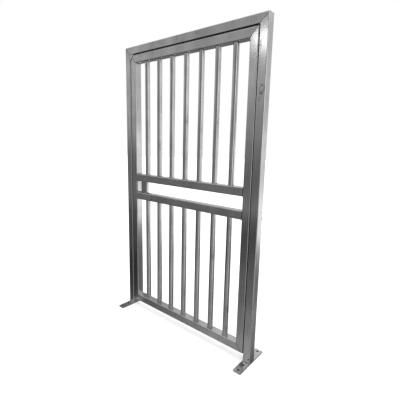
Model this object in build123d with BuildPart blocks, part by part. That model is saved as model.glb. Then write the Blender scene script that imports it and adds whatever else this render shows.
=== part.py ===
"""A framed walk-through gate for livestock pens, welded from stock steel tube.

A portal of square tube (two posts and a header) stands on two flat base plates.
A leaf of the same tube, filled with round bars, hangs inside the portal on two
flag hinges behind its right stile and is held by a slide bolt on its left.

Frame: X runs along the gate, +Y is the hinge side (the back), +Z is up. The
origin is on the floor, midway between the posts, in the middle plane of the tubes.
All sizes are in millimetres.
"""
from build123d import *
import os

os.makedirs("parts", exist_ok=True)

# ---------------------------------------------------------------- stock sections
TUBE = 50.0                  # side of the square tube
WALL = 3.0                   # its wall
TUBE_RADIUS = 4.5            # its outer corner radius
BAR_DIAMETER = 33.7          # one-inch pipe
BAR_WALL = 2.6

# ---------------------------------------------------------------- overall sizes
WIDTH = 1130.0               # over the posts
HEIGHT = 1900.0              # floor to the top of the header
PLATE_THICKNESS = 8.0
PLATE_LENGTH = 250.0
PLATE_CORNER = 3.0
PLATE_HOLE_DIAMETER = 14.0    # for M12 floor anchors
PLATE_HOLE_OFFSETS = (55.0, 105.0)   # from the post's centre, both ways
SIDE_HOLE_DIAMETER = 8.5     # joining holes in each post's outer wall
SIDE_HOLE_Y = 16.0
SIDE_HOLE_HEIGHTS = (871.0, 906.0)
GUSSET_LEG = 40.0            # corner box gusset along the header and down the post

# ---------------------------------------------------------------- leaf
LATCH_GAP = 8.0              # leaf to the left post
HINGE_GAP = 4.0              # leaf to the right post
TOP_GAP = 6.0                # leaf to the header
LEAF_BOTTOM = 50.0           # height of its underside over the floor
LEAF_CORNER_CUT = 36.0       # leg of the corner cut that clears the gusset
CAP_RADIUS = 3.0
UPPER_RAIL_Z = 1009.0        # middle of the upper mid rail
LOWER_RAIL_Z = 877.0         # middle of the lower mid rail
BAR_COUNT = 7
BAR_PITCH = 120.5

# ---------------------------------------------------------------- slide bolt
BOLT_DIAMETER = 16.0
KEEPER_HOLE_DIAMETER = 20.0  # in the left post's inner wall
BOLT_TIP_X = -532.0
BOLT_END_X = -295.0
BOLT_TIP_CHAMFER = 2.0
GUIDE_X = -332.0             # near face of the inner guide
GUIDE_THICKNESS = 6.0
GRIP_X = -395.0              # middle of the grip
GRIP_WIDTH = 60.0
GRIP_DEPTH = 20.0
GRIP_WALL = 1.5
GRIP_RADIUS = 2.5
GRIP_HEADROOM = 3.0          # under the upper mid rail
GRIP_BELOW_BOLT = 13.0
BOLT_THROW = 25.0            # each way from where it stands at rest
SLOT_END_CLEARANCE = 1.0     # left at each end of the throw
SLOT_SIDE_CLEARANCE = 4.0
PIN_DIAMETER = 5.0
FIT = 0.08                   # radial clearance of a pin or a bolt in its hole

# ---------------------------------------------------------------- hinges
HINGE_HEIGHTS = {"lower": 200.0, "upper": 1580.0}    # underside of each hinge
KNUCKLE_HEIGHT = 55.0
KNUCKLE_DIAMETER = 18.0
WING_THICKNESS = 5.0
WING_WIDTH = 45.0            # from the pin's axis to the wing's edge
HINGE_PIN_DIAMETER = 10.0
HINGE_PIN_HEAD = 3.0
HINGE_PIN_CHAMFER = 1.0
WASHER_THICKNESS = 2.0

# ---------------------------------------------------------------- derived places
HALF = TUBE / 2
LEFT = -WIDTH / 2
RIGHT = WIDTH / 2
LEAF_LEFT = LEFT + TUBE + LATCH_GAP
LEAF_RIGHT = RIGHT - TUBE - HINGE_GAP
LEAF_TOP = HEIGHT - TUBE - TOP_GAP
LEAF_MIDDLE = (LEAF_LEFT + LEAF_RIGHT) / 2
HINGE_X = RIGHT - TUBE - HINGE_GAP / 2
HINGE_Y = HALF + KNUCKLE_DIAMETER / 2


def save(piece, name):
    """Label one finished piece and write it as parts/name.step."""
    piece.part.label = name
    export_step(piece.part, f"parts/{name}.step")


def slant(x, z, normal_x, normal_z):
    """Return a plane square to the front view, through (x, z), facing away from the piece."""
    return Plane(origin=(x, 0, z), x_dir=(0, 1, 0), z_dir=(normal_x, 0, normal_z))


def square_tube(start, length, cuts=()):
    """Return a piece of the square tube from plane start, with each cut plane's front side removed."""
    with BuildPart() as piece:
        with BuildSketch(start):
            RectangleRounded(TUBE, TUBE, TUBE_RADIUS)
            RectangleRounded(TUBE - 2 * WALL, TUBE - 2 * WALL, TUBE_RADIUS - WALL, mode=Mode.SUBTRACT)
        extrude(amount=length)
        for cut in cuts:
            split(bisect_by=cut, keep=Keep.BOTTOM)
    return piece.part


def upright(x, bottom, top, cuts=()):
    """Return a standing tube whose middle is at x."""
    return square_tube(Plane(origin=(x, 0, bottom), x_dir=(1, 0, 0), z_dir=(0, 0, 1)), top - bottom, cuts)


def level(z, left, right, cuts=()):
    """Return a level tube along X whose middle is at height z."""
    return square_tube(Plane(origin=(left, 0, z), x_dir=(0, 1, 0), z_dir=(1, 0, 0)), right - left, cuts)


# ================================================================ portal
with BuildPart() as left_post:
    add(upright(LEFT + HALF, PLATE_THICKNESS, HEIGHT, [slant(LEFT, HEIGHT, 1, 1)]))
    with BuildSketch(Plane.YZ.offset(LEFT + TUBE)):
        with Locations((0, LOWER_RAIL_Z)):
            Circle(KEEPER_HOLE_DIAMETER / 2)
    extrude(amount=-2 * WALL, mode=Mode.SUBTRACT)
    with BuildSketch(Plane.YZ.offset(LEFT)):
        with Locations(*[(SIDE_HOLE_Y, z) for z in SIDE_HOLE_HEIGHTS]):
            Circle(SIDE_HOLE_DIAMETER / 2)
    extrude(amount=2 * WALL, mode=Mode.SUBTRACT)
save(left_post, "left_post")

with BuildPart() as right_post:
    add(upright(RIGHT - HALF, PLATE_THICKNESS, HEIGHT, [slant(RIGHT, HEIGHT, -1, 1)]))
    with BuildSketch(Plane.YZ.offset(RIGHT)):
        with Locations(*[(SIDE_HOLE_Y, z) for z in SIDE_HOLE_HEIGHTS]):
            Circle(SIDE_HOLE_DIAMETER / 2)
    extrude(amount=-2 * WALL, mode=Mode.SUBTRACT)
save(right_post, "right_post")

with BuildPart() as header:
    add(level(HEIGHT - HALF, LEFT, RIGHT, [slant(LEFT, HEIGHT, -1, -1), slant(RIGHT, HEIGHT, 1, -1)]))
save(header, "header")

# A sheet folded round the corner: front, back and slanted sides, open towards the tubes.
with BuildPart() as corner_gusset:
    with BuildSketch(Plane.XZ.offset(HALF)):
        with BuildLine():
            Polyline(
                (LEFT + TUBE, HEIGHT - TUBE),
                (LEFT + TUBE + GUSSET_LEG, HEIGHT - TUBE),
                (LEFT + TUBE, HEIGHT - TUBE - GUSSET_LEG),
                close=True,
            )
        make_face()
    extrude(amount=-TUBE)
    inner_leg = GUSSET_LEG - WALL * 2**0.5       # the slanted side is as thick as the others
    with BuildSketch(Plane.XZ.offset(HALF - WALL)):
        with BuildLine():
            Polyline(
                (LEFT + TUBE, HEIGHT - TUBE),
                (LEFT + TUBE + inner_leg, HEIGHT - TUBE),
                (LEFT + TUBE, HEIGHT - TUBE - inner_leg),
                close=True,
            )
        make_face()
    extrude(amount=-(TUBE - 2 * WALL), mode=Mode.SUBTRACT)
save(corner_gusset, "corner_gusset")

for side, x in (("left", LEFT + HALF), ("right", RIGHT - HALF)):
    with BuildPart() as base_plate:
        with BuildSketch(Plane.XY):
            with Locations((x, 0)):
                RectangleRounded(TUBE, PLATE_LENGTH, PLATE_CORNER)
            with Locations(*[(x, s * y) for y in PLATE_HOLE_OFFSETS for s in (-1, 1)]):
                Circle(PLATE_HOLE_DIAMETER / 2, mode=Mode.SUBTRACT)
        extrude(amount=PLATE_THICKNESS)
    save(base_plate, f"{side}_base_plate")

# ================================================================ leaf frame
CORNER_CUT = slant(LEAF_LEFT, LEAF_TOP - LEAF_CORNER_CUT, -1, 1)

with BuildPart() as leaf_latch_stile:
    add(upright(
        LEAF_LEFT + HALF, LEAF_BOTTOM, LEAF_TOP,
        [slant(LEAF_LEFT, LEAF_TOP, 1, 1), slant(LEAF_LEFT, LEAF_BOTTOM, 1, -1), CORNER_CUT],
    ))
    with BuildSketch(Plane.YZ.offset(LEAF_LEFT)):
        with Locations((0, LOWER_RAIL_Z)):
            Circle(BOLT_DIAMETER / 2 + FIT)
    extrude(amount=TUBE, mode=Mode.SUBTRACT)
save(leaf_latch_stile, "leaf_latch_stile")

with BuildPart() as leaf_hinge_stile:
    add(upright(
        LEAF_RIGHT - HALF, LEAF_BOTTOM, LEAF_TOP,
        [slant(LEAF_RIGHT, LEAF_TOP, -1, 1), slant(LEAF_RIGHT, LEAF_BOTTOM, -1, -1)],
    ))
save(leaf_hinge_stile, "leaf_hinge_stile")

with BuildPart() as leaf_top_rail:
    add(level(
        LEAF_TOP - HALF, LEAF_LEFT, LEAF_RIGHT,
        [slant(LEAF_LEFT, LEAF_TOP, -1, -1), slant(LEAF_RIGHT, LEAF_TOP, 1, -1), CORNER_CUT],
    ))
save(leaf_top_rail, "leaf_top_rail")

with BuildPart() as leaf_bottom_rail:
    add(level(
        LEAF_BOTTOM + HALF, LEAF_LEFT, LEAF_RIGHT,
        [slant(LEAF_LEFT, LEAF_BOTTOM, -1, 1), slant(LEAF_RIGHT, LEAF_BOTTOM, 1, 1)],
    ))
save(leaf_bottom_rail, "leaf_bottom_rail")

# The plate that closes the cut corner lies on the cut, inside the leaf's outline.
with BuildPart() as leaf_corner_cap:
    cap_centre = (LEAF_LEFT + LEAF_CORNER_CUT / 2, 0, LEAF_TOP - LEAF_CORNER_CUT / 2)
    with BuildSketch(Plane(origin=cap_centre, x_dir=(0, 1, 0), z_dir=(-1, 0, 1))):
        RectangleRounded(TUBE - 2 * WALL, (LEAF_CORNER_CUT - 2 * WALL) * 2**0.5, CAP_RADIUS)
    extrude(amount=-WALL)
save(leaf_corner_cap, "leaf_corner_cap")

with BuildPart() as leaf_upper_mid_rail:
    add(level(UPPER_RAIL_Z, LEAF_LEFT + TUBE, LEAF_RIGHT - TUBE))
save(leaf_upper_mid_rail, "leaf_upper_mid_rail")

with BuildPart() as leaf_lower_mid_rail:
    add(level(LOWER_RAIL_Z, LEAF_LEFT + TUBE, LEAF_RIGHT - TUBE))
    with BuildSketch(Plane.XY.offset(LOWER_RAIL_Z + HALF)):
        with Locations((GRIP_X, 0)):
            RectangleRounded(
                GRIP_WIDTH + 2 * (BOLT_THROW + SLOT_END_CLEARANCE),
                GRIP_DEPTH + 2 * SLOT_SIDE_CLEARANCE,
                GRIP_RADIUS,
            )
    extrude(amount=-2 * WALL, mode=Mode.SUBTRACT)
save(leaf_lower_mid_rail, "leaf_lower_mid_rail")

# ================================================================ round bars
BAR_SPANS = {
    "upper": (UPPER_RAIL_Z + HALF, LEAF_TOP - TUBE),
    "lower": (LEAF_BOTTOM + TUBE, LOWER_RAIL_Z - HALF),
}
for tier, (bottom, top) in BAR_SPANS.items():
    for i in range(BAR_COUNT):
        with BuildPart() as bar:
            with BuildSketch(Plane.XY.offset(bottom)):
                with Locations((LEAF_MIDDLE + (i - (BAR_COUNT - 1) / 2) * BAR_PITCH, 0)):
                    Circle(BAR_DIAMETER / 2)
                    Circle(BAR_DIAMETER / 2 - BAR_WALL, mode=Mode.SUBTRACT)
            extrude(amount=top - bottom)
        save(bar, f"{tier}_bar_{i + 1}")

# ================================================================ hinges
for place, bottom in HINGE_HEIGHTS.items():
    washer_z = bottom + KNUCKLE_HEIGHT
    leaf_z = washer_z + WASHER_THICKNESS
    for name, z, outwards in (
        (f"{place}_hinge_post_wing", bottom, 1),
        (f"{place}_hinge_leaf_wing", leaf_z, -1),
    ):
        with BuildPart() as wing:
            with BuildSketch(Plane.XY.offset(z)):
                with Locations((HINGE_X + outwards * WING_WIDTH / 2, HALF + WING_THICKNESS / 2)):
                    Rectangle(WING_WIDTH, WING_THICKNESS)
                with Locations((HINGE_X, HINGE_Y)):
                    Circle(KNUCKLE_DIAMETER / 2)
                    Circle(HINGE_PIN_DIAMETER / 2 + FIT, mode=Mode.SUBTRACT)
            extrude(amount=KNUCKLE_HEIGHT)
        save(wing, name)

    with BuildPart() as hinge_washer:
        with BuildSketch(Plane.XY.offset(washer_z)):
            with Locations((HINGE_X, HINGE_Y)):
                Circle(KNUCKLE_DIAMETER / 2)
                Circle(HINGE_PIN_DIAMETER / 2 + FIT, mode=Mode.SUBTRACT)
        extrude(amount=WASHER_THICKNESS)
    save(hinge_washer, f"{place}_hinge_washer")

    with BuildPart() as hinge_pin:
        with BuildSketch(Plane.XY.offset(bottom - HINGE_PIN_HEAD)):
            with Locations((HINGE_X, HINGE_Y)):
                Circle(KNUCKLE_DIAMETER / 2)
        extrude(amount=HINGE_PIN_HEAD)
        with BuildSketch(Plane.XY.offset(bottom)):
            with Locations((HINGE_X, HINGE_Y)):
                Circle(HINGE_PIN_DIAMETER / 2)
        extrude(amount=2 * KNUCKLE_HEIGHT + WASHER_THICKNESS + HINGE_PIN_CHAMFER)
        chamfer(hinge_pin.faces().sort_by(Axis.Z)[-1].edges(), length=HINGE_PIN_CHAMFER)
    save(hinge_pin, f"{place}_hinge_pin")

# ================================================================ slide bolt
with BuildPart() as latch_bolt:
    with BuildSketch(Plane.YZ.offset(BOLT_TIP_X)):
        with Locations((0, LOWER_RAIL_Z)):
            Circle(BOLT_DIAMETER / 2)
    extrude(amount=BOLT_END_X - BOLT_TIP_X)
    chamfer(latch_bolt.faces().sort_by(Axis.X)[0].edges(), length=BOLT_TIP_CHAMFER)
    with BuildSketch(Plane.XZ.offset(BOLT_DIAMETER)):
        with Locations((GRIP_X, LOWER_RAIL_Z)):
            Circle(PIN_DIAMETER / 2 + FIT)
    extrude(amount=-2 * BOLT_DIAMETER, mode=Mode.SUBTRACT)
save(latch_bolt, "latch_bolt")

# The grip is a piece of flat-sided tube with a lid; the bolt runs through its narrow walls.
with BuildPart() as latch_grip:
    grip_bottom = LOWER_RAIL_Z - GRIP_BELOW_BOLT
    grip_top = UPPER_RAIL_Z - HALF - GRIP_HEADROOM
    with BuildSketch(Plane.XY.offset(grip_bottom)):
        with Locations((GRIP_X, 0)):
            RectangleRounded(GRIP_WIDTH, GRIP_DEPTH, GRIP_RADIUS)
    extrude(amount=grip_top - grip_bottom)
    with BuildSketch(Plane.XY.offset(grip_bottom)):
        with Locations((GRIP_X, 0)):
            RectangleRounded(
                GRIP_WIDTH - 2 * GRIP_WALL, GRIP_DEPTH - 2 * GRIP_WALL, GRIP_RADIUS - GRIP_WALL
            )
    extrude(amount=grip_top - grip_bottom - GRIP_WALL, mode=Mode.SUBTRACT)
    with BuildSketch(Plane.YZ.offset(GRIP_X - GRIP_WIDTH)):
        with Locations((0, LOWER_RAIL_Z)):
            Circle(BOLT_DIAMETER / 2 + FIT)
    extrude(amount=2 * GRIP_WIDTH, mode=Mode.SUBTRACT)
    with BuildSketch(Plane.XZ.offset(GRIP_DEPTH)):
        with Locations((GRIP_X, LOWER_RAIL_Z)):
            Circle(PIN_DIAMETER / 2 + FIT)
    extrude(amount=-2 * GRIP_DEPTH, mode=Mode.SUBTRACT)
save(latch_grip, "latch_grip")

with BuildPart() as latch_cross_pin:
    with BuildSketch(Plane.XZ.offset(GRIP_DEPTH / 2)):
        with Locations((GRIP_X, LOWER_RAIL_Z)):
            Circle(PIN_DIAMETER / 2)
    extrude(amount=-GRIP_DEPTH)
save(latch_cross_pin, "latch_cross_pin")

# The inner guide fills the rail's hollow and carries the bolt's far end.
with BuildPart() as latch_bolt_guide:
    with BuildSketch(Plane.YZ.offset(GUIDE_X)):
        with Locations((0, LOWER_RAIL_Z)):
            RectangleRounded(TUBE - 2 * WALL, TUBE - 2 * WALL, TUBE_RADIUS - WALL)
            Circle(BOLT_DIAMETER / 2 + FIT, mode=Mode.SUBTRACT)
    extrude(amount=GUIDE_THICKNESS)
save(latch_bolt_guide, "latch_bolt_guide")
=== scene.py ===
"""Looks for the framed walk-through gate: finishes, weld beads, zinc runs, studio and camera.

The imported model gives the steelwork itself. This script dresses every node in a
procedural galvanised-steel finish, lays the weld beads that hold the pieces together,
and sets up a plain pale studio. Everything is in metres: +X runs along the gate,
+Y is the hinge side (the back) and +Z is up.
"""
import logging
import math
from dataclasses import dataclass, field, replace
from enum import Enum

import bmesh
import bpy
import numpy as np
from mathutils import Matrix, Vector


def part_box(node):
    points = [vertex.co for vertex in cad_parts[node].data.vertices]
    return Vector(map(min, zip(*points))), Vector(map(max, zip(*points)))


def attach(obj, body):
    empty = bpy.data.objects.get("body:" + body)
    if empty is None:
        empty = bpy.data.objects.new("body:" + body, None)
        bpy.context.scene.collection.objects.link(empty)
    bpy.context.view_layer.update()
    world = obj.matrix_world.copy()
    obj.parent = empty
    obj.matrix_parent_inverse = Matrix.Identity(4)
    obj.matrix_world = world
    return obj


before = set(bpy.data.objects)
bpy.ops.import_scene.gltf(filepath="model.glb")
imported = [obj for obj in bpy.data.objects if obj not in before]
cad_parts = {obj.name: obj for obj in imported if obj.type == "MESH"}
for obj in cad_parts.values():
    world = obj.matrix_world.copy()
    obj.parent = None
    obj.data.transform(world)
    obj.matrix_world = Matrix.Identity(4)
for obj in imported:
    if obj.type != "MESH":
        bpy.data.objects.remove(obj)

LOG = logging.getLogger("gate")
MM = 0.001
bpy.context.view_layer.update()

MERGE_DISTANCE = 1e-6    # points nearer than this are one point
SHORTEST_EDGE = 1e-7     # shorter edges are dissolved
LINE_POINTS = 12         # points on a straight seam before they are spaced evenly
FEWEST_POINTS = 8        # points along the shortest bead
FILLET_SWELL = 0.75      # a fillet's height as a share of its leg

X_AXIS = np.array((1.0, 0.0, 0.0))
Y_AXIS = np.array((0.0, 1.0, 0.0))
Z_AXIS = np.array((0.0, 0.0, 1.0))


# ---------------------------------------------------------------------- finishes
class Grain(Enum):
    """The way a stock section was drawn, which its fine lines follow."""

    LEVEL = (0.02, 1.0, 1.0)
    UPRIGHT = (1.0, 1.0, 0.02)
    NONE = (1.0, 1.0, 1.0)


class NodeSheet:
    """A short way to lay out shader nodes in one material or in the world."""

    USUAL_NOISE = (0.3, 0.7)

    def __init__(self, owner: bpy.types.Material | bpy.types.World) -> None:
        """Start from an empty tree with the owner's output node."""
        owner.use_nodes = True
        self.tree = owner.node_tree
        self.tree.nodes.clear()
        kind = "World" if isinstance(owner, bpy.types.World) else "Material"
        self.output = self.tree.nodes.new("ShaderNodeOutput" + kind)

    def add(self, kind: str, values: dict[int | str, object] | None = None,
            **settings: object) -> bpy.types.Node:
        """Add a node."""
        node = self.tree.nodes.new("ShaderNode" + kind)
        for name, value in settings.items():
            setattr(node, name, value)
        for name, value in (values or {}).items():
            if isinstance(value, bpy.types.NodeSocket):
                self.tree.links.new(value, node.inputs[name])
            else:
                node.inputs[name].default_value = value
        return node

    def noise(self, where: bpy.types.NodeSocket, scale: float, detail: float = 2.0,
              roughness: float = 0.5) -> bpy.types.NodeSocket:
        """Add a noise pattern."""
        node = self.add("TexNoise", {
            "Vector": where, "Scale": scale, "Detail": detail, "Roughness": roughness})
        return node.outputs["Fac"]

    def remap(self, value: bpy.types.NodeSocket, low: float, high: float,
              to_low: float, to_high: float) -> bpy.types.NodeSocket:
        """Carry a value from one range to another, clamped and smoothed at both ends."""
        node = self.add("MapRange", {0: value, 1: low, 2: high, 3: to_low, 4: to_high},
                        interpolation_type="SMOOTHSTEP")
        return node.outputs[0]

    def maths(self, how: str, a: object, b: object = 0.0) -> bpy.types.NodeSocket:
        """Return the result of one arithmetic node."""
        return self.add("Math", {0: a, 1: b}, operation=how).outputs[0]

    def spread_over(self, noise: bpy.types.NodeSocket, low: float, high: float) -> bpy.types.NodeSocket:
        """Return a noise value with its usual range stretched to low..high."""
        return self.remap(noise, *self.USUAL_NOISE, low, high)

    def finish(self, shader: bpy.types.Node) -> None:
        """Send a shader to the owner's output."""
        self.tree.links.new(shader.outputs[0], self.output.inputs[0])


@dataclass(frozen=True)
class ZincFinish:
    """Hot-dip galvanised steel: dull grey clouds, faint crystals, drawn lines and stains.

    Args:
        name: The material's name.
        tone: Mean reflectance of the metal.
        roughness: Mean roughness.
        grain: Direction of the drawn lines.
        cloud: Depth of the broad tone changes.
        crystal: Depth of the small crystal pattern.
        stain: Depth of the dark water stains.
        lump: Height of the zinc's unevenness, in metres.
        gap_shade_height: Height of the level gap whose shade is painted darker into the colour, in metres.
        dull_side: Place along the gate of the left side face, where that face is duller, in metres.
    """

    name: str
    tone: float
    roughness: float
    grain: Grain = Grain.NONE
    cloud: float = 0.07
    crystal: float = 0.025
    stain: float = 0.22
    lump: float = 0.00003
    gap_shade_height: float | None = None
    dull_side: float | None = None

    TINT = (1.0, 0.978, 0.996)
    CLOUDS_PER_M = 5.5
    CLOUD_DETAIL = (3.0, 0.6)
    CLOUD_ROUGHNESS = 0.12
    CRYSTALS_PER_M = 150.0
    CRYSTAL_ROUGHNESS = 0.012
    LINES_PER_M = 420.0
    LINE_DETAIL = (2.0, 0.6)
    LINE_DEPTH = 0.000004
    LINE_TONE = 0.07
    STAINS_PER_M = 22.0
    STAIN_DETAIL = (5.0, 0.7)
    STAIN_STRETCH = (1.0, 1.0, 0.28)
    STAIN_EDGE = (0.56, 0.74)
    STAIN_ROUGHNESS = 0.10
    LUMPS_PER_M = 18.0
    LUMP_DETAIL = (3.0, 0.55)
    GRIT_PER_M = 600.0
    GRIT_DEPTH = 0.000003
    # Painted shade of the top gap: how far it reaches and its darkest tone.
    GAP_SHADE_REACH = 0.0045
    GAP_SHADE_TONE = 0.10
    DULL_REACH = 0.0006
    DULL_EXTRA = 0.40

    def build(self) -> bpy.types.Material:
        """Make the material from its patterns' tone, roughness and relief."""
        material = bpy.data.materials.new(self.name)
        sheet = NodeSheet(material)
        place = sheet.add("TexCoord").outputs["Object"]
        clouds = sheet.noise(place, self.CLOUDS_PER_M, *self.CLOUD_DETAIL)
        drawn = sheet.add("Mapping", {"Vector": place, "Scale": self.grain.value}).outputs[0]
        lines = sheet.noise(drawn, self.LINES_PER_M, *self.LINE_DETAIL)
        cells = sheet.add("TexVoronoi", {"Vector": place, "Scale": self.CRYSTALS_PER_M})
        crystal = sheet.add("SeparateColor", {0: cells.outputs["Color"]}).outputs[0]
        streaks = sheet.add("Mapping", {"Vector": place, "Scale": self.STAIN_STRETCH}).outputs[0]
        stains = sheet.noise(streaks, self.STAINS_PER_M, *self.STAIN_DETAIL)
        stains = sheet.remap(stains, *self.STAIN_EDGE, 0.0, 1.0)
        sheet.finish(sheet.add("BsdfPrincipled", {
            "Base Color": self.colour(sheet, place, clouds, lines, crystal, stains),
            "Metallic": 1.0,
            "Roughness": self.dullness(sheet, place, clouds, crystal, stains),
            "Normal": self.relief(sheet, place, lines),
        }))
        return material

    def colour(self, sheet: NodeSheet, place: bpy.types.NodeSocket, clouds: bpy.types.NodeSocket,
               lines: bpy.types.NodeSocket, crystal: bpy.types.NodeSocket,
               stains: bpy.types.NodeSocket) -> bpy.types.NodeSocket:
        """Return the metal's colour: the tint times the tone times a factor for each pattern.

        A pattern's factor runs from 1 less its depth to 1 plus its depth. Stains and the painted
        shade under the header only darken.
        """
        tone = sheet.spread_over(clouds, self.tone * (1 - self.cloud), self.tone * (1 + self.cloud))
        factors = [
            sheet.remap(crystal, 0, 1, 1 - self.crystal, 1 + self.crystal),
            sheet.spread_over(lines, 1 - self.LINE_TONE, 1 + self.LINE_TONE),
            sheet.remap(stains, 0, 1, 1.0, 1 - self.stain),
        ]
        # Painted shade: darker within a few millimetres of the header's underside, the shaded gap above the
        # leaf.
        if self.gap_shade_height is not None:
            height = sheet.add("SeparateXYZ", {0: place}).outputs[2]
            away = sheet.maths("ABSOLUTE", sheet.maths("SUBTRACT", height, self.gap_shade_height))
            factors.append(sheet.remap(away, self.GAP_SHADE_REACH / 3, self.GAP_SHADE_REACH, self.GAP_SHADE_TONE, 1.0))
        for factor in factors:
            tone = sheet.maths("MULTIPLY", tone, factor)
        tinted = {index: sheet.maths("MULTIPLY", tone, share) for index, share in enumerate(self.TINT)}
        return sheet.add("CombineColor", tinted).outputs[0]

    def dullness(self, sheet: NodeSheet, place: bpy.types.NodeSocket, clouds: bpy.types.NodeSocket,
                 crystal: bpy.types.NodeSocket, stains: bpy.types.NodeSocket) -> bpy.types.NodeSocket:
        """Return the roughness: the mean one less with the clouds, more in stains and on a dull side."""
        most, least = (self.roughness * (1 + sign * self.CLOUD_ROUGHNESS) for sign in (1, -1))
        rough = sheet.spread_over(clouds, most, least)
        extras = [
            sheet.remap(crystal, 0, 1, -self.CRYSTAL_ROUGHNESS, self.CRYSTAL_ROUGHNESS),
            sheet.remap(stains, 0, 1, 0.0, self.STAIN_ROUGHNESS),
        ]
        if self.dull_side is not None:
            beside = sheet.maths("SUBTRACT", sheet.add("SeparateXYZ", {0: place}).outputs[0], self.dull_side)
            extras.append(sheet.remap(beside, self.DULL_REACH / 3, self.DULL_REACH, self.DULL_EXTRA, 0.0))
        for extra in extras:
            rough = sheet.maths("ADD", rough, extra)
        return rough

    def relief(self, sheet: NodeSheet, place: bpy.types.NodeSocket,
               lines: bpy.types.NodeSocket) -> bpy.types.NodeSocket:
        """Return the surface's direction over the zinc's lumps, then the drawn lines, then fine grit."""
        grit = sheet.noise(place, self.GRIT_PER_M)
        lumps = sheet.noise(place, self.LUMPS_PER_M, *self.LUMP_DETAIL)
        bump = sheet.add("Bump", {"Strength": 1.0, "Distance": self.lump, "Height": lumps})
        for pattern, depth in ((lines, self.LINE_DEPTH), (grit, self.GRIT_DEPTH)):
            bump = sheet.add("Bump", {
                "Strength": 1.0, "Distance": depth, "Height": pattern, "Normal": bump.outputs[0]})
        return bump.outputs[0]


@dataclass(frozen=True)
class FloorFinish:
    """A plain pale matt floor with the faintest unevenness of tone."""

    name: str = "pale_floor"
    tone: float = 0.9
    unevenness: float = 0.01
    patches_per_m: float = 1.5
    roughness: float = 0.9
    gloss: float = 0.1

    def build(self) -> bpy.types.Material:
        """Make the material, its tone a little lower in broad patches."""
        material = bpy.data.materials.new(self.name)
        sheet = NodeSheet(material)
        place = sheet.add("TexCoord").outputs["Object"]
        patches = sheet.noise(place, self.patches_per_m)
        tone = sheet.spread_over(patches, self.tone * (1 - self.unevenness), self.tone)
        colour = sheet.add("CombineColor", {0: tone, 1: tone, 2: tone}).outputs[0]
        sheet.finish(sheet.add("BsdfPrincipled", {
            "Base Color": colour, "Roughness": self.roughness, "Specular IOR Level": self.gloss}))
        return material


class Finishes:
    """Every finish of the gate, built once and given out by name."""

    TUBE_UPRIGHT = ZincFinish(
        "zinc_tube_upright", tone=0.52, roughness=0.15, grain=Grain.UPRIGHT, cloud=0.09)
    TUBE_HINGE_SIDE = replace(
        TUBE_UPRIGHT, name="zinc_tube_hinge_side", dull_side=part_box("leaf_hinge_stile")[0].x)
    # The level tubes carry painted shade: darker next to the header's underside, where the top gap lies in
    # shade.
    TUBE_LEVEL = ZincFinish(
        "zinc_tube_level", tone=0.54, roughness=0.20, grain=Grain.LEVEL, cloud=0.15, stain=0.30,
        gap_shade_height=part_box("header")[0].z)
    PIPE = ZincFinish("zinc_pipe", tone=0.52, roughness=0.09, grain=Grain.UPRIGHT, cloud=0.14, stain=0.30)
    PLATE = ZincFinish("zinc_plate", tone=0.62, roughness=0.22, lump=0.00005)
    HINGE = ZincFinish("hinge_steel", tone=0.46, roughness=0.34, stain=0.35)
    BOLT = ZincFinish("bolt_steel", tone=0.58, roughness=0.20, grain=Grain.LEVEL, cloud=0.08, lump=0.00001)
    GRIP = ZincFinish("grip_steel", tone=0.44, roughness=0.18, grain=Grain.UPRIGHT, cloud=0.15)
    WELD = ZincFinish("weld_zinc", tone=0.27, roughness=0.42, cloud=0.2, crystal=0.08, lump=0.0001)
    # Painted shade: a near-black finish for the inside of the base plates' holes.
    HOLE_SHADE = ZincFinish("painted_hole_shade", tone=0.02, roughness=0.6, cloud=0.3)
    RUN = ZincFinish("zinc_run", tone=0.36, roughness=0.42, cloud=0.3, lump=0.0001)

    def __init__(self) -> None:
        """Start with nothing built."""
        self.built: dict[str, bpy.types.Material] = {}

    def get(self, finish: ZincFinish) -> bpy.types.Material:
        """Return the finish's material, building it the first time."""
        if finish.name not in self.built:
            self.built[finish.name] = finish.build()
        return self.built[finish.name]

    def dress(self, node: str, finish: ZincFinish) -> None:
        """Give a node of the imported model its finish."""
        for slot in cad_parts[node].material_slots:
            slot.material = self.get(finish)
        LOG.info("%s: %s", node, finish.name)


# ---------------------------------------------------------------------- weld beads
def unit(vectors: np.ndarray) -> np.ndarray:
    """Return each vector of an array divided by its length."""
    return vectors / np.linalg.norm(vectors, axis=-1, keepdims=True)


def rounded_rectangle(width: float, height: float, radius: float,
                      steps: int = 7) -> tuple[np.ndarray, np.ndarray]:
    """Work out a rectangle with quarter-circle corners, anticlockwise from its right side.

    A corner point is the corner's centre plus the radius times (cos a, sin a).
    """
    angle = (np.linspace(0, np.pi / 2, steps)[None, :] + np.arange(4)[:, None] * np.pi / 2).ravel()
    signs = np.repeat([[1, 1], [-1, 1], [-1, -1], [1, -1]], steps, axis=0)
    normal = np.stack([np.cos(angle), np.sin(angle)], axis=1)
    centre = signs * (np.array((width, height)) / 2 - radius)
    return centre + radius * normal, normal


def spread(points: np.ndarray, along: list[np.ndarray], step: float, closed: bool) -> list[np.ndarray]:
    """Space a line of points evenly and carry other values with them.

    The new points stand at equal lengths along the line, by straight interpolation.
    """
    arrays = [points, *along]
    if closed:
        arrays = [np.vstack([values, values[:1]]) for values in arrays]
    lengths = np.linalg.norm(np.diff(arrays[0], axis=0), axis=1)
    reached = np.concatenate([[0.0], np.cumsum(lengths)])
    count = max(FEWEST_POINTS, int(round(reached[-1] / step)))
    wanted = np.linspace(0, reached[-1], count, endpoint=not closed)
    spaced = [
        np.stack([np.interp(wanted, reached, values[:, axis]) for axis in range(3)], axis=1)
        for values in arrays
    ]
    return [*spaced, wanted]


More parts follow.
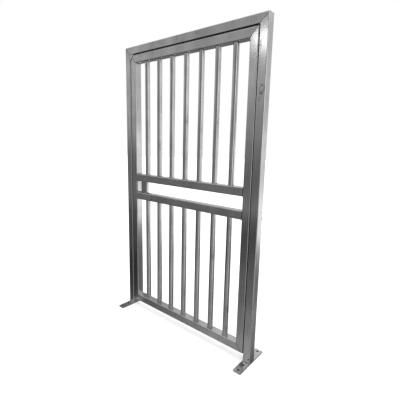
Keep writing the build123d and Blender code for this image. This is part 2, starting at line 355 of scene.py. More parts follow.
@dataclass
class BeadPath:
    """A line that a weld follows, with the two metal faces beside it.

    Args:
        points: Places along the joint, of shape (n, 3).
        first: Direction along the first face, away from the joint, at each point.
        second: Direction along the second face.
        out: Direction out of the metal.
        reach: How far the bead spreads on each face, of shape (n, 2).
        swell: Height of its middle above the joint, of shape (n,).
        closed: Whether the line is a ring.
    """

    points: np.ndarray
    first: np.ndarray
    second: np.ndarray
    out: np.ndarray
    reach: np.ndarray
    swell: np.ndarray
    closed: bool = True


@dataclass(frozen=True)
class WeldBead:
    """The cross-section and ripple of a hand-laid weld.

    Across the bead a parameter v runs from -1 to 1. The surface is the path's point, plus
    |v| times the reach along the face on that side, plus the swell times (1 - v squared)
    outwards. Ripples multiply the swell by 1 plus a cosine of the length along the path
    less v squared times the bow. An open bead's ends taper to a point on a quarter circle,
    and the underside is sunk a little into the metal.
    """

    step: float = 0.8 * MM
    ripple: float = 2.6 * MM
    ripple_depth: float = 0.06
    bow: float = 2.2
    sink: float = 0.5 * MM
    across: int = 9
    under: int = 3
    taper: float = 3.0 * MM

    def surface(self, path: BeadPath) -> np.ndarray:
        """Work out the bead on a path."""
        reach3 = np.column_stack([path.reach, path.swell])
        points, first, second, out, sizes, length = spread(
            path.points, [path.first, path.second, path.out, reach3], self.step, path.closed)
        out = unit(out)
        top = np.linspace(-1, 1, self.across)
        under = np.linspace(1, -1, self.under + 2)[1:-1]
        v = np.concatenate([top, under])
        is_top = np.concatenate([np.ones_like(top), np.zeros_like(under)])
        end = np.ones_like(length)
        if not path.closed:
            left = np.clip(np.minimum(length, length[-1] - length) / self.taper, 0, 1)
            end = np.sqrt(1 - (1 - left) ** 2)
        wave = np.cos(2 * np.pi * length[:, None] / self.ripple - self.bow * v[None, :] ** 2)
        dome = (1 - v[None, :] ** 2) * (1 + self.ripple_depth * wave) * sizes[:, 2:3]
        height = np.where(is_top[None, :] > 0, dome, -self.sink * (1 - v[None, :] ** 2)) * end[:, None]
        along_first = np.clip(v, 0, 1)[None, :] * sizes[:, 0:1] * end[:, None]
        along_second = np.clip(-v, 0, 1)[None, :] * sizes[:, 1:2] * end[:, None]
        return (
            points[:, None, :]
            + along_first[:, :, None] * first[:, None, :]
            + along_second[:, :, None] * second[:, None, :]
            + height[:, :, None] * out[:, None, :]
        )


def grid_faces(rows: int, columns: int, closed: bool, start: int) -> np.ndarray:
    """Work out the quads of a grid that is closed across and, if asked, along.

    The quad at (i, j) joins (i, j), (i + 1, j), (i + 1, j + 1) and (i, j + 1).
    """
    i = np.arange(rows if closed else rows - 1)[:, None]
    j = np.arange(columns)[None, :]
    after_i = (i + 1) % rows
    after_j = (j + 1) % columns
    corners = [i * columns + j, after_i * columns + j, after_i * columns + after_j, i * columns + after_j]
    return np.stack(corners, axis=-1).reshape(-1, 4) + start


def make_piece(name: str, grids: list[tuple[np.ndarray, bool]], material: bpy.types.Material,
               body: str) -> bpy.types.Object:
    """Join grids of points into one closed, smooth piece that rides on a body."""
    points, faces, start = [], [], 0
    for grid, closed in grids:
        rows, columns = grid.shape[:2]
        points.append(grid.reshape(-1, 3))
        faces.append(grid_faces(rows, columns, closed, start))
        start += rows * columns
    mesh = bpy.data.meshes.new(name)
    mesh.from_pydata(np.vstack(points).tolist(), [], np.vstack(faces).tolist())
    work = bmesh.new()
    work.from_mesh(mesh)
    bmesh.ops.remove_doubles(work, verts=work.verts, dist=MERGE_DISTANCE)
    bmesh.ops.dissolve_degenerate(work, edges=work.edges, dist=SHORTEST_EDGE)
    bmesh.ops.recalc_face_normals(work, faces=work.faces)
    for face in work.faces:
        face.smooth = True
    work.to_mesh(mesh)
    work.free()
    mesh.materials.append(material)
    piece = bpy.data.objects.new(name, mesh)
    bpy.context.scene.collection.objects.link(piece)
    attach(piece, body)
    LOG.info("%s: %d faces on %s", name, len(mesh.polygons), body)
    return piece


@dataclass(frozen=True)
class BarCollar:
    """The fillet between an upright round bar and a level face.

    Its leg on the bar and its height waver round the bar, by 1 plus a slow wave of three
    rounds, which starts elsewhere on each bar, plus a quick wave of seven rounds.
    """

    leg: float = 2.6 * MM
    swell: float = 0.78
    slow: float = 0.12
    quick: float = 0.06
    start_per_m: float = 40.0
    points: int = 96

    def path(self, centre: np.ndarray, radius: float, up: float) -> BeadPath:
        """Return the joint at one end of a bar, centre + radius (cos a, sin a)."""
        angle = np.linspace(0, 2 * np.pi, self.points, endpoint=False)
        radial = np.stack([np.cos(angle), np.sin(angle), np.zeros_like(angle)], axis=1)
        axis = np.tile(up * Z_AXIS, (len(angle), 1))
        slow = self.slow * np.sin(3 * angle + self.start_per_m * centre[0])
        waver = 1 + slow + self.quick * np.sin(7 * angle)
        legs = np.stack([self.leg * waver, np.full_like(angle, self.leg)], axis=1)
        height = self.swell * self.leg * waver
        return BeadPath(centre + radius * radial, axis, radial, unit(axis + radial), legs, height)


@dataclass(frozen=True)
class SquareTube:
    """The square tube's section and the welds that its joints take."""

    side: float = 50.0 * MM
    radius: float = 4.5 * MM
    corner_steps: int = 7
    mitre_points: int = 400
    leg: float = 2.6 * MM
    flush: float = 0.22 * MM
    corner_fill: float = 1.6 * MM

    def outline(self) -> tuple[np.ndarray, np.ndarray]:
        """Return the section's points and normals."""
        return rounded_rectangle(self.side, self.side, self.radius, self.corner_steps)

    def mitre(self, centre: np.ndarray, outer: tuple[float, float], limit: float) -> BeadPath:
        """Return the joint of a level and an upright tube cut at 45 degrees.

        A section point (u, v) lies at centre + u (ox, 0, oz) + v Y, so the seam runs across
        the front, round the inner corner and across the back. It is dressed flush on the
        flats and fills the inner corner.
        """
        points, normals = self.outline()
        middle_of_corner = self.corner_steps // 2
        points = np.roll(points, -middle_of_corner, axis=0)
        normals = np.roll(normals, -middle_of_corner, axis=0)
        diagonal = np.array((outer[0], 0.0, outer[1]))
        fine = np.linspace(0, len(points) - 1, self.mitre_points)
        index = np.arange(len(points))
        u, v = (np.interp(fine, index, points[:, k]) for k in range(2))
        nu, nv = (np.interp(fine, index, normals[:, k]) for k in range(2))
        keep = u <= limit
        u, v, nu, nv = (values[keep] for values in (u, v, nu, nv))
        inner = np.clip(-nu, 0, 1) ** 2
        out = unit(nu[:, None] * unit(diagonal) + nv[:, None] * Y_AXIS)
        count = len(u)
        return BeadPath(
            centre + u[:, None] * diagonal + v[:, None] * Y_AXIS,
            np.tile(-outer[0] * X_AXIS, (count, 1)),
            np.tile(-outer[1] * Z_AXIS, (count, 1)),
            out,
            np.full((count, 2), self.leg),
            self.flush + (self.corner_fill - self.flush) * inner,
            closed=False,
        )

    def butt(self, centre: np.ndarray, along: np.ndarray, across: np.ndarray, free: np.ndarray,
             flush: float) -> BeadPath:
        """Return the joint of a tube's end with a flat face."""
        points, normals = self.outline()
        place = centre + points[:, :1] * across + points[:, 1:] * free
        normal = normals[:, :1] * across + normals[:, 1:] * free
        open_side = normals[:, 1] ** 2
        out = unit(normal + open_side[:, None] * along)
        legs = np.stack([np.full(len(points), self.leg), self.leg * open_side], axis=1)
        swell = flush * (1 - open_side) + FILLET_SWELL * self.leg * open_side
        return BeadPath(place, np.tile(along, (len(points), 1)), normal, out, legs, swell)


def straight_path(start: np.ndarray, end: np.ndarray, first: np.ndarray, second: np.ndarray,
                  leg: float, swell: float) -> BeadPath:
    """Lay a straight joint between two faces, open at both ends."""
    points = np.linspace(start, end, LINE_POINTS)
    count = len(points)
    out = unit(unit(first) + unit(second))
    return BeadPath(points, np.tile(unit(first), (count, 1)), np.tile(unit(second), (count, 1)),
                    np.tile(out, (count, 1)), np.full((count, 2), leg), np.full(count, swell), closed=False)


def flat_path(points: np.ndarray, out: np.ndarray, leg: float, swell: float, closed: bool) -> BeadPath:
    """Lay a seam on a flat face, spreading square to its own direction.

    The side direction is the direction from the point before to the point after, crossed
    with the face's own.
    """
    after = np.roll(points, -1, axis=0)
    before = np.roll(points, 1, axis=0)
    if not closed:
        after[-1] = points[-1]
        before[0] = points[0]
    side = unit(np.cross(unit(after - before), out))
    count = len(points)
    return BeadPath(points, side, -side, np.tile(out, (count, 1)),
                    np.full((count, 2), leg), np.full(count, swell), closed)


# ---------------------------------------------------------------------- sub-assemblies
@dataclass
class Welder:
    """Lays beads on one body in one finish."""

    body: str
    finishes: Finishes
    bead: WeldBead = field(default_factory=WeldBead)

    def lay(self, name: str, paths: list[BeadPath]) -> bpy.types.Object:
        """Lay one piece of weld."""
        grids = [(self.bead.surface(path), path.closed) for path in paths]
        return make_piece(name, grids, self.finishes.get(Finishes.WELD), self.body)


@dataclass
class Portal:
    """The two posts, the header, the corner gusset and the base plates."""

    finishes: Finishes
    tube: SquareTube
    body: str = "frame"
    outer_limit: float = 20.0 * MM
    gusset_leg: float = 3.2 * MM
    gusset_edge: float = 0.3 * MM
    gusset_swell: float = 0.5 * MM
    slant_edge: float = 1.0 * MM
    slant_swell: float = 1.2 * MM
    hole_radius: float = 7.0 * MM
    lining_points: int = 40
    lining: float = 0.5 * MM
    lining_bite: float = 0.05 * MM
    lining_margin: float = 0.2 * MM
    lip_radius: float = 2.5 * MM
    foot_sink: float = 0.05 * MM
    hole_offsets: tuple[float, float] = (55 * MM, 105 * MM)

    def dress(self) -> None:
        """Give every node of the portal its finish."""
        for node in ("left_post", "right_post"):
            self.finishes.dress(node, Finishes.TUBE_UPRIGHT)
        self.finishes.dress("header", Finishes.TUBE_LEVEL)
        for node in ("corner_gusset", "left_base_plate", "right_base_plate"):
            self.finishes.dress(node, Finishes.PLATE)

    def weld(self) -> None:
        """Lay the mitre seams, the gusset's seams and the welds at the feet."""
        welder = Welder(self.body, self.finishes)
        low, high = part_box("header")
        half = self.tube.side / 2
        for side, sign, x in (("left", -1, low.x + half), ("right", 1, high.x - half)):
            corner = np.array((x, 0.0, high.z - half))
            mitre = self.tube.mitre(corner, (sign, 1), self.outer_limit)
            welder.lay(f"{side}_header_mitre_weld", [mitre])
            foot = np.array((x, 0.0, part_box(f"{side}_base_plate")[1].z))
            seam = self.tube.butt(foot, Z_AXIS, X_AXIS, Y_AXIS, -self.foot_sink)
            welder.lay(f"{side}_post_foot_weld", [seam])
        self.weld_gusset(welder)
        self.shade_holes()

    def shade_holes(self) -> None:
        """Line each base plate's holes with a near-black sleeve and lip, painted shade inside the holes."""
        for side in ("left", "right"):
            low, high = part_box(f"{side}_base_plate")
            x = (low.x + high.x) / 2
            grids = [
                (self.hole_lining(np.array((x, sign * offset, 0.0)), high.z), True)
                for offset in self.hole_offsets for sign in (-1, 1)
            ]
            # Painted shade: the holes' sleeves and lips are near-black where little light reaches.
            scale = self.finishes.get(Finishes.HOLE_SHADE)
            make_piece(f"{side}_plate_hole_scale", grids, scale, self.body)

    def hole_lining(self, centre: np.ndarray, depth: float) -> np.ndarray:
        """Work out a thin sleeve with an inward lip at its foot, near-black to paint the shade in a hole.

        Its points are centre + r (cos a, sin a) + z, with (r, z) going round an L.
        """
        angle = np.linspace(0, 2 * np.pi, self.lining_points, endpoint=False)
        outer = self.hole_radius + self.lining_bite
        inner = self.hole_radius - self.lining
        low, high = self.lining_margin, depth - self.lining_margin
        profile = np.array([
            (outer, low), (self.lip_radius, low), (self.lip_radius, low + self.lining),
            (inner, low + self.lining), (inner, high), (outer, high)])
        radial = np.stack([np.cos(angle), np.sin(angle), np.zeros_like(angle)], axis=1)
        return centre + profile[None, :, :1] * radial[:, None, :] + profile[None, :, 1:] * Z_AXIS

    def weld_gusset(self, welder: Welder) -> None:
        """Lay the gusset's seams: along both tubes on each face, and across its slanted ends."""
        low, high = (np.array(corner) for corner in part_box("corner_gusset"))
        level_end = np.array((high[0], 0.0, high[2]))
        corner = np.array((low[0], 0.0, high[2]))
        upright_end = np.array((low[0], 0.0, low[2]))
        paths = []
        for face in (-1, 1):
            shift = face * (high[1] - self.gusset_edge) * Y_AXIS
            level = np.linspace(level_end, corner, LINE_POINTS)
            upright = np.linspace(corner, upright_end, LINE_POINTS)
            line = np.vstack([level, upright[1:]]) + shift
            paths.append(flat_path(line, face * Y_AXIS, self.gusset_leg, self.gusset_swell, closed=False))
        width = (high[1] - self.slant_edge) * Y_AXIS
        slant = unit(upright_end - level_end)
        for place, away, down in ((level_end, X_AXIS, slant), (upright_end, -Z_AXIS, -slant)):
            start, end = place - width, place + width
            paths.append(straight_path(start, end, away, down, self.gusset_leg, self.slant_swell))
        welder.lay("corner_gusset_weld", paths)


@dataclass
class Leaf:
    """The swinging leaf: its frame, its two mid rails and its round bars."""

    finishes: Finishes
    tube: SquareTube
    body: str = "leaf"
    collar: BarCollar = BarCollar()
    outer_limit: float = 24.0 * MM
    cap_margin: float = 1.0 * MM
    cap_thickness: float = 3.0 * MM
    cap_radius: float = 3.0 * MM
    cap_leg: float = 2.4 * MM
    cap_swell: float = 0.4 * MM

    def dress(self) -> None:
        """Give every node of the leaf its finish."""
        self.finishes.dress("leaf_latch_stile", Finishes.TUBE_UPRIGHT)
        self.finishes.dress("leaf_hinge_stile", Finishes.TUBE_HINGE_SIDE)
        for node in ("leaf_top_rail", "leaf_bottom_rail", "leaf_upper_mid_rail", "leaf_lower_mid_rail"):
            self.finishes.dress(node, Finishes.TUBE_LEVEL)
        for node in self.bars():
            self.finishes.dress(node, Finishes.PIPE)
        for node in ("leaf_corner_cap", "latch_bolt_guide"):
            self.finishes.dress(node, Finishes.PLATE)

    def bars(self) -> list[str]:
        """Return the names of the round bars, upper ones first."""
        return sorted((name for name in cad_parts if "_bar_" in name), reverse=True)

    def weld(self) -> None:
        """Lay the corner seams, the mid rails' end welds and a collar round each bar's ends."""
        welder = Welder(self.body, self.finishes)
        half = self.tube.side / 2
        low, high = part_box("leaf_bottom_rail")
        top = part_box("leaf_top_rail")[1].z
        for name, x, z, outer in (
            ("bottom_left", low.x + half, low.z + half, (-1, -1)),
            ("bottom_right", high.x - half, low.z + half, (1, -1)),
            ("top_right", high.x - half, top - half, (1, 1)),
            ("top_left", low.x + half, top - half, (-1, 1)),
        ):
            limit = self.outer_limit
            if name == "top_left":
                limit = half - self.corner_cut() / 2 - self.cap_margin
            seam = self.tube.mitre(np.array((x, 0.0, z)), outer, limit)
            welder.lay(f"leaf_{name}_mitre_weld", [seam])
        self.weld_mid_rails(welder)
        self.weld_bars(welder)
        self.weld_cap(welder)

    def corner_cut(self) -> float:
        """Return the leg of the top left corner's cut, twice the drop from rail to stile top."""
        return 2 * (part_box("leaf_top_rail")[1].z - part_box("leaf_latch_stile")[1].z)

    def weld_mid_rails(self, welder: Welder) -> None:
        """Lay the welds where each mid rail meets the stiles."""
        for rail in ("upper", "lower"):
            low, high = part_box(f"leaf_{rail}_mid_rail")
            z = (low.z + high.z) / 2
            paths = [
                self.tube.butt(np.array((x, 0.0, z)), sign * X_AXIS, Y_AXIS, Z_AXIS, self.tube.flush)
                for x, sign in ((low.x, 1), (high.x, -1))
            ]
            welder.lay(f"{rail}_mid_rail_weld", paths)

    def weld_bars(self, welder: Welder) -> None:
        """Lay a collar round both ends of every bar, one piece for each row of ends."""
        for tier in ("upper", "lower"):
            boxes = [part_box(name) for name in self.bars() if name.startswith(tier)]
            for place, up in (("foot", 1), ("head", -1)):
                paths = []
                for low, high in boxes:
                    centre = np.array(((low.x + high.x) / 2, 0.0, low.z if up > 0 else high.z))
                    paths.append(self.collar.path(centre, (high.x - low.x) / 2, up))
                welder.lay(f"{tier}_bar_{place}_welds", paths)

    def weld_cap(self, welder: Welder) -> None:
        """Lay the seam round the plate that closes the cut corner."""
        low, high = (np.array(corner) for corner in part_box("leaf_corner_cap"))
        out = unit(np.array((-1.0, 0.0, 1.0)))
        slant = unit(np.array((1.0, 0.0, 1.0)))
        length = (high[0] - low[0]) * math.sqrt(2) - self.cap_thickness
        points, _ = rounded_rectangle(length, high[1] - low[1], self.cap_radius)
        face = (low + high) / 2 + out * self.cap_thickness / 2
        line = face + points[:, :1] * slant + points[:, 1:] * Y_AXIS
        seam = flat_path(line, out, self.cap_leg, self.cap_swell, closed=True)
        welder.lay("leaf_corner_cap_weld", [seam])


@dataclass
class Hinges:
    """The two weld-on flag hinges behind the right-hand side."""

    finishes: Finishes
    leg: float = 3.5 * MM
    seam_length: float = 34.0 * MM
    edge_points: int = 20

    def dress(self) -> None:
        """Give every hinge node its finish."""
        for place in ("upper", "lower"):
            for piece in ("post_wing", "leaf_wing", "pin", "washer"):
                finish = Finishes.BOLT if piece in ("pin", "washer") else Finishes.HINGE
                self.finishes.dress(f"{place}_hinge_{piece}", finish)

    def weld(self) -> None:
        """Lay a fillet round the three free edges of each wing."""
        for place in ("upper", "lower"):
            for wing, body, away in (("post_wing", "frame", 1), ("leaf_wing", "leaf", -1)):
                welder = Welder(body, self.finishes)
                path = self.wing_path(f"{place}_hinge_{wing}", away)
                welder.lay(f"{place}_hinge_{wing}_weld", [path])

    def wing_path(self, node: str, away: int) -> BeadPath:
        """Return the joint round the wing's top edge, far edge and bottom edge."""
        low, high = (np.array(corner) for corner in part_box(node))
        edge = high[0] if away > 0 else low[0]
        inner = edge - away * self.seam_length
        corners = [(inner, high[2]), (edge, high[2]), (edge, low[2]), (inner, low[2])]
        sides = [Z_AXIS, away * X_AXIS, -Z_AXIS]
        flat = np.vstack([
            np.linspace(start, end, self.edge_points) for start, end in zip(corners, corners[1:])])
        face = np.repeat(sides, self.edge_points, axis=0)
        count = len(flat)
        line = np.stack([flat[:, 0], np.full(count, low[1]), flat[:, 1]], axis=1)
        first = np.tile(Y_AXIS, (count, 1))
        return BeadPath(line, first, face, unit(first + face), np.full((count, 2), self.leg),
                        np.full(count, FILLET_SWELL * self.leg), closed=False)


@dataclass
class SlideBolt:
    """The round bolt, its upright grip and the pin that joins them."""

    finishes: Finishes

    def dress(self) -> None:
        """Give every latch node its finish."""
        self.finishes.dress("latch_bolt", Finishes.BOLT)
        self.finishes.dress("latch_cross_pin", Finishes.BOLT)
        self.finishes.dress("latch_grip", Finishes.GRIP)


class Shape(Enum):
    """The outline of a mark that the zinc bath leaves."""

    RING = "ring"
    DRIP = "drip"
    SPOT = "spot"


@dataclass(frozen=True)
class Mark:
    """One mark of the zinc bath on the front of a tube.

    Args:
        shape: Its outline.
        x: Its middle along the gate.
        z: Its middle above the floor.
        width: Its size along the gate.
        height: Its size upwards.
    """

    shape: Shape
    x: float
    z: float
    width: float
    height: float


@dataclass
class ZincMarks:
    """The dull runs, spots and rings that the zinc bath left on the portal's front."""

    finishes: Finishes
    face_y: float
    body: str = "frame"
    bead: WeldBead = WeldBead(ripple=9.0 * MM, ripple_depth=0.25, taper=5.0 * MM)
    swell: float = 0.35 * MM
    ring_leg: float = 2.2 * MM
    ring_points: int = 60
    ring_waver: tuple[float, float] = (0.08, 0.05)
    ring_start: float = 0.7
    marks: tuple[Mark, ...] = (
        Mark(Shape.RING, 0.546, 1.543, 0.024, 0.036),
        Mark(Shape.SPOT, 0.545, 1.562, 0.016, 0.012),
        Mark(Shape.SPOT, 0.541, 1.521, 0.026, 0.009),
        Mark(Shape.DRIP, 0.532, 1.500, 0.006, 0.020),
        Mark(Shape.SPOT, 0.536, 1.486, 0.014, 0.006),
        Mark(Shape.DRIP, 0.095, 1.887, 0.008, 0.016),
        Mark(Shape.SPOT, 0.108, 1.876, 0.012, 0.007),
        Mark(Shape.DRIP, 0.119, 1.880, 0.005, 0.024),
        Mark(Shape.DRIP, 0.352, 1.890, 0.010, 0.010),
        Mark(Shape.DRIP, 0.368, 1.891, 0.007, 0.008),
        Mark(Shape.DRIP, 0.466, 1.877, 0.006, 0.034),
        Mark(Shape.DRIP, 0.484, 1.876, 0.005, 0.028),
        Mark(Shape.DRIP, 0.494, 1.880, 0.004, 0.024),
    )

    def apply(self) -> None:
        """Lay every mark as a thin raised run in the dull finish."""
        grids = [(self.bead.surface(path), path.closed) for path in map(self.path, self.marks)]
        make_piece("zinc_marks", grids, self.finishes.get(Finishes.RUN), self.body)

    def path(self, mark: Mark) -> BeadPath:
        """Work out the line that a mark follows on the tube's front.

        A ring is centre + (width/2 cos a, height/2 sin a) times 1 plus a wave of two rounds
        and one of five. A drip is a straight line down, and a spot a straight line across.
        """
        centre = np.array((mark.x, self.face_y, mark.z))
        if mark.shape is Shape.RING:
            angle = np.linspace(0, 2 * np.pi, self.ring_points, endpoint=False)[:, None]
            slow, quick = self.ring_waver
            waver = 1 + slow * np.sin(2 * angle + self.ring_start) + quick * np.sin(5 * angle)
            line = centre + waver * (
                mark.width / 2 * np.cos(angle) * X_AXIS + mark.height / 2 * np.sin(angle) * Z_AXIS)
            return flat_path(line, -Y_AXIS, self.ring_leg, self.swell, closed=True)
        along, half, leg = Z_AXIS, mark.height / 2, mark.width / 2
        if mark.shape is Shape.SPOT:
            along, half, leg = X_AXIS, mark.width / 2, mark.height / 2
        line = np.linspace(centre - half * along, centre + half * along, LINE_POINTS)
        return flat_path(line, -Y_AXIS, leg, self.swell, closed=False)


# ---------------------------------------------------------------------- studio
Span = tuple[float, float]
Stops = tuple[Span, ...]
Place = tuple[float, float, float]


@dataclass(frozen=True)
class Lamp:
    """A rectangular soft lamp that the camera doesn't see.

    Args:
        name: The lamp's name.
        place: Its middle.
        target: The point that it faces.
        size: Its width and height.
        radiance: Brightness of its face.
        mirrored: Whether shiny surfaces mirror it.
        lights: The nodes that it lights, or none for everything.
    """

    name: str
    place: Place
    target: Place
    size: Span
    radiance: float
    mirrored: bool
    lights: tuple[str, ...] = ()

    def hang(self) -> None:
        """Hang the lamp and keep its light to the nodes that it is meant for."""
        data = bpy.data.lights.new(self.name, "AREA")
        data.shape = "RECTANGLE"
        data.size, data.size_y = self.size
        data.energy = self.radiance * math.pi * self.size[0] * self.size[1]
        lamp = bpy.data.objects.new(self.name, data)
        turn = (Vector(self.target) - Vector(self.place)).to_track_quat("-Z", "Y")
        lamp.matrix_world = Matrix.Translation(self.place) @ turn.to_matrix().to_4x4()
        lamp.visible_camera = False
        lamp.visible_glossy = self.mirrored
        bpy.context.scene.collection.objects.link(lamp)
        if self.lights:
            lit = bpy.data.collections.new("lit_by_" + self.name)
            for node in self.lights:
                lit.objects.link(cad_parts[node])
            lamp.light_linking.receiver_collection = lit


@dataclass(frozen=True)
class RoomSide:
    """One side of the room, as bright at each height as its stops say.

    Args:
        stops: Pairs of elevation, in degrees, and radiance.
        turn: Where it takes over from the side before it, from none to all. The values are a
            direction's share along the gate, from -1 at the left to 1 at the right. A wall's
            first side needs none.
    """

    stops: Stops
    turn: Span = (-1.0, -1.0)


RIGHT_WALL: Stops = (
    (-90, 0.60), (-30, 1.10), (-18, 1.00), (0, 1.30), (10, 1.60), (35, 0.90), (90, 1.20))


@dataclass(frozen=True)
class Room:
    """The pale room all round: dark low down in front, pale behind and bright above.

    Its front and back walls are each made of sides from left to right. The one turns into
    the other with the direction's share away from the front, and the right-hand end closes
    both. Matt surfaces and the camera see an even light in its place.
    """

    front: tuple[RoomSide, ...] = (
        RoomSide((
            (-90, 0.50), (-29, 0.20), (-26, 0.05), (-20, 0.035), (-18, 0.11), (-12, 0.10), (-9.5, 0.27),
            (-7, 0.24), (-4, 0.17), (-1, 0.28), (3, 0.52), (12, 0.68), (17, 0.44), (35, 0.80),
            (90, 1.20))),
        RoomSide((
            (-90, 0.10), (-43, 0.12), (-38, 0.48), (-36, 0.50), (-32, 0.34), (-28, 0.20), (-22, 0.16),
            (-19, 0.11), (-16, 0.055), (-11, 0.34), (-7, 0.15), (0, 0.29), (6, 0.42), (12, 0.60),
            (20, 0.38), (35, 0.80), (90, 1.20)), (-0.72, -0.62)),
        RoomSide((
            (-90, 0.50), (-35, 0.40), (-15, 0.32), (0, 0.33), (12, 0.30), (35, 0.80),
            (90, 1.20)), (-0.45, -0.20)),
        RoomSide(RIGHT_WALL, (0.70, 0.92)),
    )
    back: tuple[RoomSide, ...] = (
        RoomSide((
            (-90, 0.25), (-20, 0.18), (-8, 0.22), (0, 0.60), (7, 0.84), (15, 0.62), (18, 0.02),
            (38, 0.02), (46, 0.80), (90, 1.20))),
        RoomSide((
            (-90, 0.25), (-20, 0.18), (-8, 0.22), (0, 0.60), (7, 0.76), (25, 0.62), (40, 0.80),
            (90, 1.20)), (-0.70, -0.67)),
        RoomSide((
            (-90, 0.03), (-40, 0.04), (-36, 0.22), (-31, 0.36), (-24, 0.22), (-19, 0.55),
            (-15.5, 1.75), (-10, 1.30), (-4, 1.00), (0, 1.15), (6, 0.78), (17, 0.82), (35, 0.90),
            (90, 1.20)), (-0.20, 0.10)),
        RoomSide((
            (-90, 0.20), (-27, 0.22), (-20, 0.20), (-15, 0.24), (-12.5, 1.75), (-8, 1.30), (0, 1.25),
            (6, 0.72), (17, 0.80), (35, 0.90), (90, 1.20)), (0.55, 0.72)),
    )
    front_to_back: Span = (-0.30, 0.20)
    right_end: RoomSide = RoomSide(RIGHT_WALL, (0.84, 0.89))
    matt_light: float = 1.60
    backdrop_light: float = 1.0

    RAMP_TOP = 2.0

    def build(self) -> None:
        """Make the room the scene's world."""
        world = bpy.data.worlds.new("pale_room")
        bpy.context.scene.world = world
        sheet = NodeSheet(world)
        direction = sheet.add("TexCoord").outputs["Generated"]
        across, ahead, up = sheet.add("SeparateXYZ", {0: direction}).outputs
        height = sheet.maths("DIVIDE", sheet.maths("ARCSINE", up), math.pi)
        height = sheet.maths("ADD", height, 0.5)
        front = self.wall(sheet, self.front, height, across)
        back = self.wall(sheet, self.back, height, across)
        room = self.turn(sheet, ahead, self.front_to_back, front, back)
        end = self.ramp(sheet, self.right_end.stops, height)
        room = self.turn(sheet, across, self.right_end.turn, room, end)
        ray = sheet.add("LightPath").outputs
        colour = self.blend(sheet, ray["Is Diffuse Ray"], room, self.grey(self.matt_light))
        colour = self.blend(sheet, ray["Is Camera Ray"], colour, self.grey(self.backdrop_light))
        sheet.finish(sheet.add("Background", {"Color": colour, "Strength": self.RAMP_TOP}))

    def wall(self, sheet: NodeSheet, sides: tuple[RoomSide, ...], height: bpy.types.NodeSocket,
             across: bpy.types.NodeSocket) -> bpy.types.NodeSocket:
        """Join a wall's sides, each turning into the next."""
        colour = self.ramp(sheet, sides[0].stops, height)
        for side in sides[1:]:
            colour = self.turn(sheet, across, side.turn, colour, self.ramp(sheet, side.stops, height))
        return colour

    def ramp(self, sheet: NodeSheet, stops: Stops, height: bpy.types.NodeSocket) -> bpy.types.NodeSocket:
        """Make one side's brightness by height.

        Ramp colours hold at most 1, so each stop is stored as a share of the ramp's top.
        """
        node = sheet.add("ValToRGB", {0: height})
        elements = node.color_ramp.elements
        while len(elements) < len(stops):
            elements.new(0.5)
        for element, (elevation, radiance) in zip(elements, stops):
            element.position = (elevation + 90) / 180
            element.color = self.grey(radiance)
        return node.outputs[0]

    def turn(self, sheet: NodeSheet, value: bpy.types.NodeSocket, span: Span,
             before: object, after: object) -> bpy.types.NodeSocket:
        """Turn smoothly from one brightness to another."""
        return self.blend(sheet, sheet.remap(value, *span, 0.0, 1.0), before, after)

    def grey(self, radiance: float) -> tuple[float, float, float, float]:
        """Return a grey that the background makes this bright."""
        return (*[radiance / self.RAMP_TOP] * 3, 1.0)

    @staticmethod
    def blend(sheet: NodeSheet, share: bpy.types.NodeSocket, a: object, b: object) -> bpy.types.NodeSocket:
        """Return colour a where share is 0 and b where it is 1."""
        return sheet.add("Mix", {0: share, 6: a, 7: b}, data_type="RGBA").outputs[2]


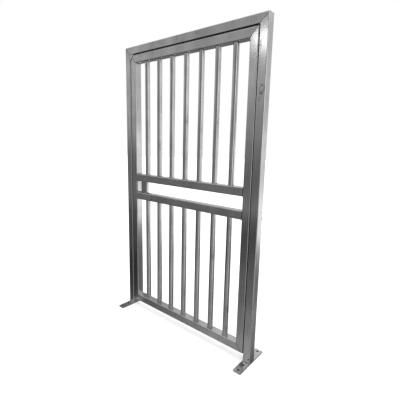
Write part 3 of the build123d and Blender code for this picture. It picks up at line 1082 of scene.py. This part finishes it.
@dataclass
class Studio:
    """A pale floor, a soft lamp above, a strip lamp in front and a pale room all round."""

    floor_radius: float = 30.0
    floor_rings: int = 6
    floor_sides: int = 48
    overhead: Lamp = Lamp("overhead_lamp", (0.0, 0.0, 6.0), (0.0, 0.0, 0.0), (8.0, 8.0), 0.6, mirrored=False)
    strip: Lamp = Lamp(
        "strip_lamp", (-2.57, -6.98, 4.19), (0.5, -0.025, 1.77), (2.20, 0.26), 6.5, mirrored=True,
        lights=("right_post", "leaf_hinge_stile"))
    room: Room = Room()

    def build(self) -> None:
        """Make the floor, the lamps and the room's light."""
        self.lay_floor()
        self.overhead.hang()
        self.strip.hang()
        self.room.build()

    def lay_floor(self) -> None:
        """Lay a round floor: radius times s squared times (cos a, sin a), s from 0 to 1."""
        rings = np.linspace(0.0, 1.0, self.floor_rings)[:, None] ** 2 * self.floor_radius
        angle = np.linspace(0, 2 * np.pi, self.floor_sides, endpoint=False)[None, :]
        grid = np.stack([rings * np.cos(angle), rings * np.sin(angle), np.zeros_like(rings * angle)], axis=-1)
        mesh = bpy.data.meshes.new("floor")
        faces = grid_faces(self.floor_rings, self.floor_sides, False, 0)
        mesh.from_pydata(grid.reshape(-1, 3).tolist(), [], faces.tolist())
        work = bmesh.new()
        work.from_mesh(mesh)
        bmesh.ops.remove_doubles(work, verts=work.verts, dist=MERGE_DISTANCE)
        work.to_mesh(mesh)
        work.free()
        mesh.materials.append(FloorFinish().build())
        floor = bpy.data.objects.new("floor", mesh)
        floor.visible_glossy = False
        bpy.context.scene.collection.objects.link(floor)


@dataclass
class Viewpoint:
    """The camera: where it stands, which way it looks and its lens.

    It looks along +Y, turned left by the yaw and down by the pitch, with its right side
    raised by the roll, all in degrees. The lens and the sensor are in millimetres.
    """

    place: Place = (1.36969, -1.42511, 1.25595)
    yaw: float = 37.66
    pitch: float = 9.94
    roll: float = 1.89
    lens: float = 27.7065
    sensor: float = 36.0
    shift: Span = (-0.0437, -0.0014)

    def build(self) -> None:
        """Make the camera and choose it."""
        yaw, pitch, roll = (math.radians(angle) for angle in (self.yaw, self.pitch, self.roll))
        forward = Vector((
            -math.sin(yaw) * math.cos(pitch), math.cos(yaw) * math.cos(pitch), -math.sin(pitch)))
        level = Vector((math.cos(yaw), math.sin(yaw), 0.0))
        upward = level.cross(forward)
        right = math.cos(roll) * level + math.sin(roll) * upward
        upward = right.cross(forward)
        data = bpy.data.cameras.new("camera")
        data.lens = self.lens
        data.sensor_width = self.sensor
        data.shift_x, data.shift_y = self.shift
        camera = bpy.data.objects.new("camera", data)
        turn = Matrix((right, upward, -forward)).transposed().to_4x4()
        camera.matrix_world = Matrix.Translation(self.place) @ turn
        bpy.context.scene.collection.objects.link(camera)
        bpy.context.scene.camera = camera


def main() -> None:
    """Build the camera, the studio and every sub-assembly in order."""
    logging.basicConfig(level=logging.INFO, format="%(message)s")
    bpy.context.scene.view_settings.view_transform = "Standard"
    Viewpoint().build()
    Studio().build()
    finishes = Finishes()
    tube = SquareTube()
    for assembly in (Portal(finishes, tube), Leaf(finishes, tube), Hinges(finishes)):
        assembly.dress()
        assembly.weld()
    SlideBolt(finishes).dress()
    ZincMarks(finishes, face_y=-tube.side / 2).apply()


if __name__ == "__main__":
    main()
